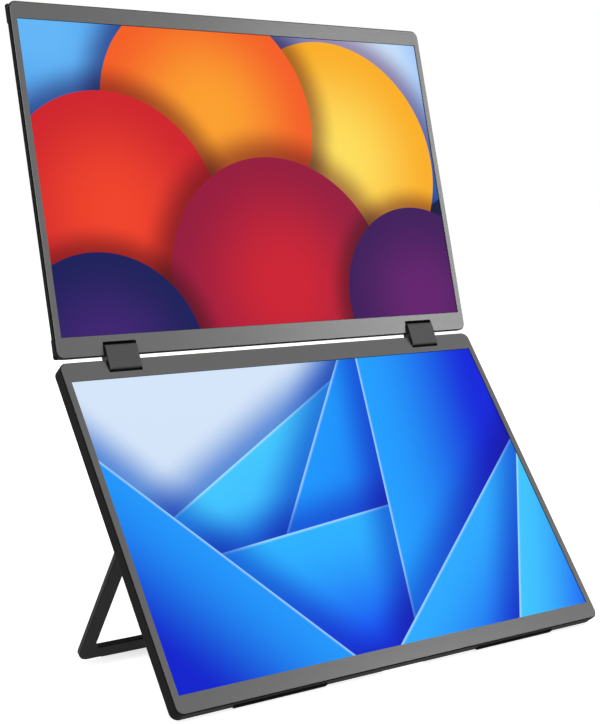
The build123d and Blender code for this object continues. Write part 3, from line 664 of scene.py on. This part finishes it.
def add_piece(shape, name, material, body, replaced=(), smooth=True):
    """Make a piece from a bmesh, and let it ride on a body."""
    mesh = bpy.data.meshes.new(name)
    shape.to_mesh(mesh)
    shape.free()
    mesh.materials.append(material)
    if smooth:
        mesh.shade_smooth()
        mesh.set_sharp_from_angle(angle=sharp_angle)
    piece = bpy.data.objects.new(name, mesh)
    bpy.context.scene.collection.objects.link(piece)
    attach(piece, body)
    if replaced:
        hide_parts(*replaced)


def copied_shape(node):
    """A CAD node's shape, its loose triangles joined into flat faces."""
    shape = bmesh.new()
    shape.from_mesh(frame["nodes"][node].data)
    bmesh.ops.remove_doubles(shape, verts=shape.verts, dist=merge_distance)
    bmesh.ops.dissolve_limit(shape, angle_limit=flat_angle, verts=shape.verts, edges=shape.edges)
    return shape


def round_edges(shape, edges, width, segments=2):
    """Bevel edges to a rounding."""
    bmesh.ops.bevel(
        shape,
        geom=edges,
        offset=width,
        offset_type="OFFSET",
        affect="EDGES",
        segments=segments,
        profile=0.5,
        material=-1,
        clamp_overlap=True,
    )


def sharp_edges(shape):
    """Edges between faces that meet at a sharp angle."""
    joined = [edge for edge in shape.edges if edge.is_manifold]
    return [edge for edge in joined if edge.calc_face_angle() > sharp_angle]


def mount_matrix(name):
    """Frame of a socket's mouth: X to the display's rear, Y up its slope, Z out of the side."""
    mounts = {mount["name"]: mount for mount in frame["record"]["mounts"]}
    return turned(Vector(mounts[name]["pos_m"]), lower_up, Vector(mounts[name]["axis"]))


def slab(shape, size, matrix):
    """A small block of a size, put in place by a matrix."""
    made = bmesh.ops.create_cube(shape, size=1.0)
    bmesh.ops.scale(shape, vec=size, verts=made["verts"])
    bmesh.ops.transform(shape, matrix=matrix, verts=made["verts"])


class MONITOR_OT_bezels(bpy.types.Operator):
    """Satin grey bezels with rounded edges"""

    bl_idname = "monitor.bezels"
    bl_label = "Bezels"

    def execute(self, context):
        settings = context.scene.monitor_shape
        colours = context.scene.monitor_finish
        finish = moulded(
            "bezel_grey",
            colours.bezel,
            clean=0.25,
            handled=0.265,
            grain=0.00022,
            depth=0.00002,
            contrast=0.04,
            specular=0.72,
        )
        for name in ("upper", "lower"):
            node, body = f"{name}_front_bezel", f"{name}_display"
            shape = copied_shape(node)
            round_edges(shape, sharp_edges(shape), settings.edge_round)
            add_piece(shape, f"{name}_bezel_plate", finish, body, [node], smooth=False)
        return {"FINISHED"}


class MONITOR_OT_covers(bpy.types.Operator):
    """Moulded black rear covers"""

    bl_idname = "monitor.covers"
    bl_label = "Rear covers"

    def execute(self, context):
        finish = moulded(
            "shell_black",
            context.scene.monitor_finish.shell,
            clean=0.48,
            handled=0.53,
            grain=0.0005,
            depth=0.00008,
            specular=0.02,
        )
        dress(finish, "upper_rear_cover", "lower_rear_cover", "left_hinge_caps", "right_hinge_caps")
        return {"FINISHED"}


class MONITOR_OT_screens(bpy.types.Operator):
    """Lit screens with their pictures"""

    bl_idname = "monitor.screens"
    bl_label = "Screens"

    def execute(self, context):
        settings = context.scene.monitor_shape
        discs = lit_screen("screen_discs", upper_middle, upper_out, settings, disc_picture)
        sheets = lit_screen("screen_sheets", lower_middle, lower_out, settings, sheet_picture)
        dress(discs, "upper_screen")
        dress(sheets, "lower_screen")
        return {"FINISHED"}


class MONITOR_OT_hinges(bpy.types.Operator):
    """Hinge blocks with their shafts and brackets"""

    bl_idname = "monitor.hinges"
    bl_label = "Hinges"

    def execute(self, context):
        colours = context.scene.monitor_finish
        # the shell's black is painted shade on the hinge blocks' faces that look left or right
        block = side_shaded_satin("hinge_grey", colours.hinge, colours.shell, clean=0.36, handled=0.44)
        steel = bare_metal("hinge_steel", colours.steel, roughness=0.28)
        for side in ("left", "right"):
            dress(block, f"{side}_hinge_block", f"{side}_hinge_plate")
            dress(steel, f"{side}_torque_sleeves")
            for level in ("upper", "lower"):
                dress(steel, f"{side}_{level}_shaft", f"{side}_{level}_bracket")
        dress(steel, "upper_bracket_screws", "lower_bracket_screws")
        self.seals(context.scene.monitor_shape, colours)
        return {"FINISHED"}

    def seals(self, settings, colours):
        """Curved black seals that close the gaps at both ends of the hinge blocks; their black is painted shade
        for those gaps.
        """
        # painted shade: the seals' black stands in for the shade in the gaps round the hinge blocks
        finish = rubber("seal_black", colours.rubber)
        axes = {
            joint["name"]: Vector(joint["pos_m"])
            for joint in frame["joints"]
            if joint["name"].endswith("_hinge")
        }
        upward = (axes["upper_hinge"] - axes["lower_hinge"]).normalized()
        shape = bmesh.new()
        for side in ("left", "right"):
            low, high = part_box(f"{side}_hinge_caps")
            for axis, up in ((axes["upper_hinge"], upward), (axes["lower_hinge"], -upward)):
                start = up.copy()
                start.rotate(Matrix.Rotation(-settings.seal_angle, 3, across))
                corners = [
                    axis + across * x + start * reach
                    for x, reach in (
                        (low.x, settings.seal_inner),
                        (high.x, settings.seal_inner),
                        (high.x, settings.seal_outer),
                        (low.x, settings.seal_outer),
                    )
                ]
                section = shape.faces.new([shape.verts.new(corner) for corner in corners])
                bmesh.ops.spin(
                    shape,
                    geom=[section],
                    cent=axis,
                    axis=across,
                    angle=2 * settings.seal_angle,
                    steps=seal_steps,
                )
        bmesh.ops.recalc_face_normals(shape, faces=shape.faces)
        add_piece(shape, "hinge_seals", finish, "hinge_link")


class MONITOR_OT_stand(bpy.types.Operator):
    """Folding stand with its pivots and cross-recessed screws"""

    bl_idname = "monitor.stand"
    bl_label = "Stand"

    def execute(self, context):
        colours = context.scene.monitor_finish
        settings = context.scene.monitor_shape
        paint = moulded(
            "stand_black", colours.stand, clean=0.36, handled=0.5, grain=0.0007, depth=0.00006
        )
        dress(paint, "kickstand_frame")
        steel = bare_metal("pivot_steel", colours.pivot, roughness=0.34)
        for side in ("left", "right"):
            dress(steel, f"{side}_stand_bracket", f"{side}_stand_pin")
        self.screws(settings, steel)
        return {"FINISHED"}

    def screws(self, settings, steel):
        """Screw heads with a cross recess, where the CAD screws are."""
        shape = bmesh.new()
        points = [vertex.co for vertex in frame["nodes"]["stand_screws"].data.vertices]
        for side in (-1, 1):
            mine = [point for point in points if point.x * side > 0]
            tail = max(point.dot(-lower_out) for point in mine)
            rim = [point for point in mine if point.dot(-lower_out) > tail - merge_distance]
            middle = sum(rim, Vector()) / len(rim)
            self.screw(shape, settings, turned(middle, lower_up, lower_out))
        bmesh.ops.recalc_face_normals(shape, faces=shape.faces)
        add_piece(shape, "stand_screw_heads", steel, "lower_display", ["stand_screws"])

    def screw(self, shape, settings, matrix):
        """One head: a ring of faces round a sunk cross, closed at its bottom."""
        start = len(shape.verts)
        arm, half = settings.recess_arm, settings.recess_width / 2
        quarter = [Vector((half, half, 0)), Vector((half, arm, 0)), Vector((-half, arm, 0))]
        corners = [
            Matrix.Rotation(turn * math.pi / 2, 3, "Z") @ corner
            for turn in range(4)
            for corner in quarter
        ]
        cross = [shape.verts.new(corner) for corner in corners]
        rim = [shape.verts.new(corner.normalized() * settings.screw_head) for corner in corners]
        cross_edges = [shape.edges.new((a, b)) for a, b in zip(cross, cross[1:] + cross[:1])]
        rim_edges = [shape.edges.new((a, b)) for a, b in zip(rim, rim[1:] + rim[:1])]
        bmesh.ops.bridge_loops(shape, edges=cross_edges + rim_edges)
        depths = ((cross_edges, settings.recess_depth), (rim_edges, settings.screw_height))
        for edges, depth in depths:
            wall = bmesh.ops.extrude_edge_only(shape, edges=edges)["geom"]
            sunk = [part for part in wall if isinstance(part, bmesh.types.BMVert)]
            bmesh.ops.translate(shape, verts=sunk, vec=(0, 0, depth))
            loop = [part for part in wall if isinstance(part, bmesh.types.BMEdge)]
            bmesh.ops.contextual_create(shape, geom=loop)
        shape.verts.ensure_lookup_table()
        bmesh.ops.transform(shape, matrix=matrix, verts=shape.verts[start:])


class MONITOR_OT_rubber(bpy.types.Operator):
    """Rubber feet, strip and corner pads"""

    bl_idname = "monitor.rubber"
    bl_label = "Rubber"

    def execute(self, context):
        settings = context.scene.monitor_shape
        finish = rubber("rubber_black", context.scene.monitor_finish.rubber)
        for name, node, body in (
            ("rubber_feet", "lower_feet", "lower_display"),
            ("rubber_strip", "kickstand_strip", "kickstand"),
        ):
            shape = copied_shape(node)
            round_edges(shape, sharp_edges(shape), settings.rubber_round)
            add_piece(shape, name, finish, body, [node])
        self.pads(settings, finish)
        return {"FINISHED"}

    def pads(self, settings, finish):
        """Rounded pads over the rear corners of the upper display."""
        shape = bmesh.new()
        frame_of_front = turned(upper_middle, upper_up, upper_out)
        to_front = frame_of_front.inverted()
        vertices = frame["nodes"]["upper_corner_pads"].data.vertices
        points = [to_front @ vertex.co for vertex in vertices]
        for side in (-1, 1):
            for end in (-1, 1):
                mine = [point for point in points if point.x * side > 0 and point.y * end > 0]
                low = Vector(min(point[axis] for point in mine) for axis in range(3))
                high = Vector(max(point[axis] for point in mine) for axis in range(3))
                slab(shape, high - low, frame_of_front @ Matrix.Translation((low + high) / 2))
        round_edges(shape, shape.edges[:], settings.pad_round, segments=4)
        add_piece(shape, "corner_pads", finish, "upper_display", ["upper_corner_pads"])


class MONITOR_OT_sockets(bpy.types.Operator):
    """Sockets on the right side, with their contacts"""

    bl_idname = "monitor.sockets"
    bl_label = "Sockets"

    def execute(self, context):
        colours = context.scene.monitor_finish
        settings = context.scene.monitor_shape
        steel = bare_metal("socket_steel", colours.steel, roughness=0.25)
        gold = bare_metal("contact_gold", colours.gold, roughness=0.22)
        dress(steel, "usb_c_sockets", "mini_hdmi_socket")
        black = moulded(
            "socket_plastic", colours.plastic, clean=0.4, handled=0.5, grain=0.0004, depth=0.00004
        )
        dress(black, "audio_socket", "socket_tongues")
        usb_row = {"above": 12, "below": 12, "pitch": 0.0005}
        hdmi_row = {"above": 10, "below": 9, "pitch": 0.0008}
        rows = {"usb_c_low": usb_row, "usb_c_high": usb_row, "mini_hdmi": hdmi_row}
        for name, row in rows.items():
            self.contacts(settings, f"{name}_contacts", mount_matrix(name), gold, **row)
        self.collar(settings, steel)
        return {"FINISHED"}

    def contacts(self, settings, name, mouth, gold, above, below, pitch):
        """Rows of contacts on both faces of a socket's tongue."""
        shape = bmesh.new()
        size = Vector((settings.contact_depth, pitch / 2, settings.contact_length))
        depth = -settings.tongue_set - settings.contact_length / 2
        for face, count in ((-1, above), (1, below)):
            for step in range(count):
                rise = (step - (count - 1) / 2) * pitch
                spot = Vector((face * (settings.tongue + settings.contact_depth) / 2, rise, depth))
                slab(shape, size, mouth @ Matrix.Translation(spot))
        add_piece(shape, name, gold, "lower_display", smooth=False)

    def collar(self, settings, steel):
        """Thin metal ring in the wall round the audio socket."""
        shape = bmesh.new()
        inner, outer = settings.collar_bore, settings.collar_bore + settings.collar_wall
        section = [
            shape.verts.new((radius, 0, height))
            for radius, height in (
                (inner, 0),
                (outer, 0),
                (outer, settings.collar_length),
                (inner, settings.collar_length),
            )
        ]
        loop = [shape.edges.new(pair) for pair in zip(section, section[1:] + section[:1])]
        bmesh.ops.spin(
            shape,
            geom=section + loop,
            cent=(0, 0, 0),
            axis=(0, 0, 1),
            angle=math.tau,
            steps=collar_steps,
            use_merge=True,
        )
        bmesh.ops.remove_doubles(shape, verts=shape.verts, dist=merge_distance)
        bmesh.ops.recalc_face_normals(shape, faces=shape.faces)
        bmesh.ops.transform(shape, matrix=mount_matrix("audio"), verts=shape.verts)
        add_piece(shape, "audio_collar", steel, "lower_display")


class MONITOR_OT_buttons(bpy.types.Operator):
    """Buttons on the right side, with their switches"""

    bl_idname = "monitor.buttons"
    bl_label = "Buttons"

    def execute(self, context):
        colours = context.scene.monitor_finish
        settings = context.scene.monitor_shape
        finish = moulded(
            "button_black", colours.plastic, clean=0.35, handled=0.45, grain=0.0003, depth=0.00003
        )
        print_white = moulded(
            "mark_print",
            colours.marks,
            clean=0.4,
            handled=0.5,
            grain=0.0002,
            depth=0.00001,
            contrast=0.05,
        )
        dress(finish, "button_switches")
        marks = {"power": self.power_mark, "plus": self.plus_mark, "minus": self.minus_mark}
        for name, mark in marks.items():
            node = f"{name}_button"
            spot = self.cap(settings, f"{name}_cap", node, finish)
            shape = bmesh.new()
            mark(shape, settings)
            bmesh.ops.transform(shape, matrix=turned(spot, lower_up, across), verts=shape.verts)
            add_piece(shape, f"{name}_mark", print_white, node, smooth=False)
        return {"FINISHED"}

    def cap(self, settings, name, node, finish):
        """A button with a rounded rim, set back by its mark's thickness, and the mark's middle."""
        shape = copied_shape(node)
        low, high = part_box(node)
        high.x -= settings.mark_depth
        outer = [vertex for vertex in shape.verts if vertex.co.x > high.x]
        bmesh.ops.translate(shape, verts=outer, vec=across * -settings.mark_depth)
        rim = [
            edge
            for edge in sharp_edges(shape)
            if all(high.x - vertex.co.x < merge_distance for vertex in edge.verts)
        ]
        round_edges(shape, rim, settings.button_round, segments=3)
        add_piece(shape, name, finish, node, [node])
        middle = (low + high) / 2
        return Vector((high.x + settings.mark_depth / 2, middle.y, middle.z))

    def bar(self, shape, settings, width, height, rise=0.0):
        """One straight stroke of a mark."""
        slab(shape, (width, height, settings.mark_depth), Matrix.Translation((0, rise, 0)))

    def minus_mark(self, shape, settings):
        """One level stroke."""
        self.bar(shape, settings, settings.mark_size, settings.mark_stroke)

    def plus_mark(self, shape, settings):
        """A level stroke with a short stroke above and below it."""
        arm = (settings.mark_size - settings.mark_stroke) / 2
        middle = (arm + settings.mark_stroke) / 2
        self.minus_mark(shape, settings)
        for end in (-1, 1):
            self.bar(shape, settings, settings.mark_stroke, arm, end * middle)

    def power_mark(self, shape, settings):
        """A ring open at its top, with a stroke in the opening."""
        outer = settings.mark_size / 2
        inner = outer - settings.mark_stroke
        turn = Matrix.Rotation(settings.mark_opening / 2, 3, "Z")
        low, high = -settings.mark_depth / 2, settings.mark_depth / 2
        section = [
            shape.verts.new(turn @ Vector((0, reach, height)))
            for reach, height in ((inner, low), (outer, low), (outer, high), (inner, high))
        ]
        start = shape.faces.new(section)
        bmesh.ops.spin(
            shape,
            geom=[start],
            cent=(0, 0, 0),
            axis=(0, 0, 1),
            angle=math.tau - settings.mark_opening,
            steps=mark_steps,
        )
        bmesh.ops.recalc_face_normals(shape, faces=shape.faces)
        self.bar(shape, settings, settings.mark_stroke, outer, outer * settings.mark_rise)


class MONITOR_OT_inside(bpy.types.Operator):
    """Boards, light guides and speakers inside the displays"""

    bl_idname = "monitor.inside"
    bl_label = "Inside"

    def execute(self, context):
        colours = context.scene.monitor_finish
        board = circuit_board("board_green", colours.board)
        dress(board, "main_board", "upper_driver_board", "lower_driver_board")
        guide = moulded(
            "light_guide_white",
            colours.light_guide,
            clean=0.4,
            handled=0.5,
            grain=0.0005,
            depth=0.00003,
        )
        dress(guide, "upper_backlight", "lower_backlight")
        shield = bare_metal("shield_steel", colours.steel, roughness=0.3)
        dress(shield, "board_shield", "board_screws")
        dress(speaker_cloth("speaker_cloth", colours.plastic), "speakers")
        return {"FINISHED"}


class MONITOR_OT_stage(bpy.types.Operator):
    """Pale floor, soft lamps, white surroundings and the camera"""

    bl_idname = "monitor.stage"
    bl_label = "Stage"

    def execute(self, context):
        stage = context.scene.monitor_stage
        self.floor(context, stage)
        self.world(context, stage)
        self.lamp(context, "key", stage, stage.key_width, stage.key_height)
        for name in ("fill", "back"):
            self.lamp(context, name, stage, stage.lamp_size, stage.lamp_size)
        self.camera(context, stage)
        context.scene.view_settings.view_transform = "Standard"
        return {"FINISHED"}

    def seen_directly(self, tree):
        """One for camera, glossy and transmission rays, and nought for the light on the object."""
        rays = tree.nodes.new("ShaderNodeLightPath").outputs
        both = math_node(tree, "MAXIMUM", rays["Is Camera Ray"], rays["Is Glossy Ray"])
        return math_node(tree, "MAXIMUM", both, rays["Is Transmission Ray"])

    def floor(self, context, stage):
        """Floor that keeps the shadow and is white where nothing shades it."""
        material, tree, shader, _ = new_material("floor_white")
        shader.inputs["Base Color"].default_value = (*stage.floor, 1)
        shader.inputs["Roughness"].default_value = 0.9
        shader.inputs["Specular IOR Level"].default_value = 0.0
        shader.inputs["Emission Color"].default_value = (1, 1, 1, 1)
        lift = math_node(tree, "MULTIPLY", self.seen_directly(tree), stage.floor_lift)
        tree.links.new(lift, shader.inputs["Emission Strength"])
        shape = bmesh.new()
        bmesh.ops.create_grid(shape, x_segments=1, y_segments=1, size=stage.floor_size / 2)
        bmesh.ops.translate(shape, verts=shape.verts, vec=(0, 0, -stage.floor_drop))
        mesh = bpy.data.meshes.new("floor")
        shape.to_mesh(mesh)
        shape.free()
        mesh.materials.append(material)
        floor = bpy.data.objects.new("floor", mesh)
        context.scene.collection.objects.link(floor)

    def world(self, context, stage):
        """Even light for the object, and white where the surroundings are seen."""
        world = bpy.data.worlds.new("studio")
        context.scene.world = world
        world.use_nodes = True
        tree = world.node_tree
        background = tree.nodes["Background"]
        background.inputs["Color"].default_value = (1, 1, 1, 1)
        strength = range_node(tree, self.seen_directly(tree), 0.0, 1.0, stage.world_light, 1.0)
        tree.links.new(strength, background.inputs["Strength"])

    def lamp(self, context, name, stage, width, height):
        """Soft lamp that faces the object."""
        data = bpy.data.lights.new(f"{name}_lamp", "AREA")
        data.energy = getattr(stage, f"{name}_power")
        data.shape = "RECTANGLE"
        data.size = width
        data.size_y = height
        lamp = bpy.data.objects.new(f"{name}_lamp", data)
        low, high = cad_box
        spot = getattr(stage, name)
        aim = (low + high) / 2 - Vector(spot)
        lamp.location = spot
        lamp.rotation_euler = aim.to_track_quat("-Z", "Y").to_euler()
        context.scene.collection.objects.link(lamp)

    def camera(self, context, stage):
        """Camera at the height and angle of the view."""
        data = bpy.data.cameras.new("camera")
        data.lens = stage.lens
        camera = bpy.data.objects.new("camera", data)
        camera.location = stage.camera
        camera.rotation_euler = Vector(stage.view).to_track_quat("-Z", "Y").to_euler()
        context.scene.collection.objects.link(camera)
        context.scene.camera = camera


operators = (
    MONITOR_OT_bezels,
    MONITOR_OT_covers,
    MONITOR_OT_screens,
    MONITOR_OT_hinges,
    MONITOR_OT_stand,
    MONITOR_OT_rubber,
    MONITOR_OT_sockets,
    MONITOR_OT_buttons,
    MONITOR_OT_inside,
    MONITOR_OT_stage,
)
settings_of_scene = {
    "monitor_finish": FinishSettings,
    "monitor_shape": ShapeSettings,
    "monitor_stage": StageSettings,
}


class MONITOR_PT_tools(bpy.types.Panel):
    """Steps that dress the monitor"""

    bl_label = "Dual portable monitor"
    bl_space_type = "VIEW_3D"
    bl_region_type = "UI"
    bl_category = "Monitor"

    def draw(self, context):
        for step in operators:
            self.layout.operator(step.bl_idname)
        for name, group in settings_of_scene.items():
            box = self.layout.box()
            for label in group.__annotations__:
                box.prop(getattr(context.scene, name), label)


def register():
    """Register the settings, the steps and the panel."""
    for name, group in settings_of_scene.items():
        bpy.utils.register_class(group)
        setattr(bpy.types.Scene, name, PointerProperty(type=group))
    for step in (*operators, MONITOR_PT_tools):
        bpy.utils.register_class(step)


def unregister():
    """Take the panel, the steps and the settings away again."""
    for step in (MONITOR_PT_tools, *reversed(operators)):
        bpy.utils.unregister_class(step)
    for name, group in settings_of_scene.items():
        delattr(bpy.types.Scene, name)
        bpy.utils.unregister_class(group)


def main():
    """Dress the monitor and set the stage."""
    register()
    for step in operators:
        group, name = step.bl_idname.split(".")
        getattr(getattr(bpy.ops, group), name)()


if __name__ == "__main__":
    main()
